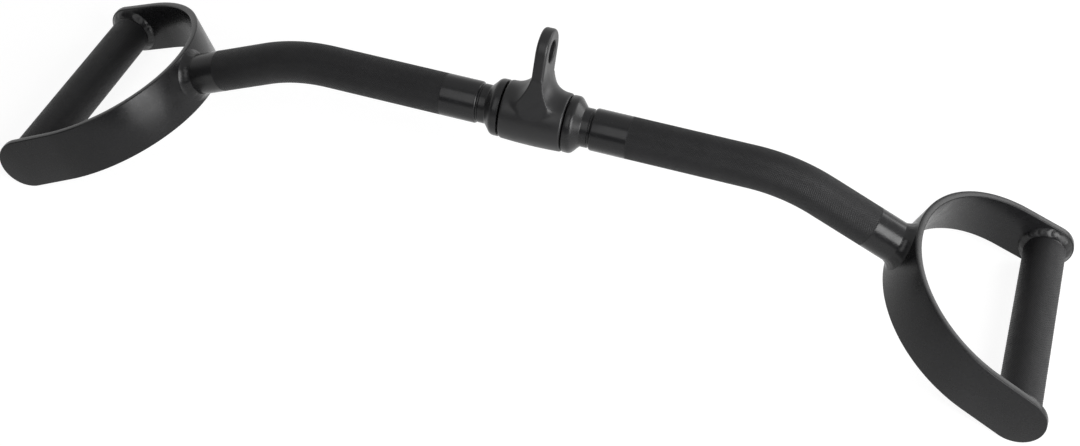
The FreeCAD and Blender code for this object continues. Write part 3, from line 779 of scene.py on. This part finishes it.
# The lug's narrow edges spread into feet that come to lie along the barrel at its front and back. Each is
# a copy of the casting turned about the bore and cut off along the line from the lug's edge, at FOOT_TOP
# above the bore, to where that line touches the barrel.
hanger_frame = Matrix.Translation((0, 0, HUB_Z)) @ Matrix.Rotation(-HANGER_LEAN, 4, "X")
from_bore = math.hypot(LUG_HALF_WIDTH, FOOT_TOP)
foot_angle = math.acos(BARREL_RADIUS / from_bore) + math.atan2(LUG_HALF_WIDTH, FOOT_TOP)
foot_turn = foot_angle - math.asin(LUG_HALF_WIDTH / BARREL_RADIUS)
feet = []
for side in (1, -1):
    foot = copy_of(hanger, "hanger_foot")
    foot.data.transform(hanger_frame @ Matrix.Rotation(side * foot_turn, 4, "X") @ hanger_frame.inverted())
    foot_corner = hanger_frame @ Vector((0, -side * LUG_HALF_WIDTH, FOOT_TOP))
    sloping = Vector((0, -side * math.sin(foot_angle), math.cos(foot_angle)))
    upright = Vector((0, 0, 1))
    open_alone(foot)
    for normal in (sloping, upright):
        bpy.ops.mesh.select_all(action="SELECT")
        bpy.ops.mesh.bisect(plane_co=foot_corner, plane_no=hanger_frame.to_3x3() @ normal,
                            clear_outer=True, use_fill=True)
    bpy.ops.object.mode_set(mode="OBJECT")
    feet.append(foot)
for piece in (*feet, hanger):
    piece.select_set(True)
bpy.context.view_layer.objects.active = hanger
bpy.ops.object.join()

# A fine new skin over all of it grows them into one, and smoothing takes its edges off as blasting does.
skin = hanger.modifiers.new("skin", "REMESH")
skin.mode = "VOXEL"
skin.voxel_size = HANGER_VOXEL
soften = hanger.modifiers.new("soften", "SMOOTH")
soften.factor = SOFTEN_FACTOR
soften.iterations = SOFTEN_ROUNDS
for modifier in (skin, soften):
    bpy.ops.object.modifier_apply(modifier=modifier.name)
# On a blasted casting the coat is matt and slowly wavy, and its highlights are broad and faint.
cast_coat = black_skin("black_powder_coat_on_casting", roughness=0.4, mirror=0.4,
                       peel=(5, 0.04), grain=(0.9, 0.006))
finish(hanger, (cast_coat,), "hanger", "hanger", crease=HANGER_CREASE)


# Spindle and bushes. A ground bright steel bar joins the two arms through the barrel, which turns on it in
# two flanged bushes of black acetal. The flanges keep barrel and collars apart.
STEEL_DARK = "#A9A8A5"
STEEL_LIGHT = "#C9C8C5"
STEEL_GLOSSIEST = 0.2
STEEL_DULLEST = 0.34
GRINDING_LINE = 0.3 * MM
GRINDING_STRETCH = 0.02
GRINDING_DEPTH = 0.003 * MM
ACETAL_BLACK = "#141414"
ACETAL_RUBBED = "#1B1B1B"


def coat_node(name, material):
    """Gives a CAD node that is carried over its material."""
    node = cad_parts[name]
    node.data.materials.clear()
    node.data.materials.append(material)


# Grinding leaves fine rings round the steel shaft, so it shines along its length in a streak that flickers.
# The real rings are a tenth as wide and are drawn coarser, so that they show.
ground_steel = bpy.data.materials.new("ground_bright_steel")
tree = empty_tree(ground_steel)
place = add(tree, "ShaderNodeTexCoord").outputs["Object"]
stretched = add(tree, "ShaderNodeMapping", Vector=place,
                Scale=(1, GRINDING_STRETCH, GRINDING_STRETCH)).outputs[0]
rings = add(tree, "ShaderNodeTexNoise", Vector=stretched, Scale=1 / GRINDING_LINE, Detail=4).outputs["Fac"]
tone = add(tree, "ShaderNodeMix", {"data_type": "RGBA"},
           Factor=rings, A=linear(STEEL_DARK), B=linear(STEEL_LIGHT)).outputs["Result"]
dullness = add(tree, "ShaderNodeMapRange", Value=rings,
               To_Min=STEEL_GLOSSIEST, To_Max=STEEL_DULLEST).outputs[0]
grooves = add(tree, "ShaderNodeBump", Height=rings, Distance=GRINDING_DEPTH).outputs[0]
shader = add(tree, "ShaderNodeBsdfPrincipled", Base_Color=tone, Metallic=1.0, Roughness=dullness,
             Normal=grooves).outputs[0]
add(tree, "ShaderNodeOutputMaterial", Surface=shader)
coat_node("spindle", ground_steel)

# Turned acetal looks waxy: a low, even sheen on a dense black, without the coat's orange peel.
acetal = black_skin("black_acetal_bush", roughness=0.42, mirror=0.5, peel=(4, 0.004), grain=(0.3, 0.003),
                    black=ACETAL_BLACK, rubbed=ACETAL_RUBBED)
for side in ("right", "left"):
    coat_node(f"{side}_bush", acetal)
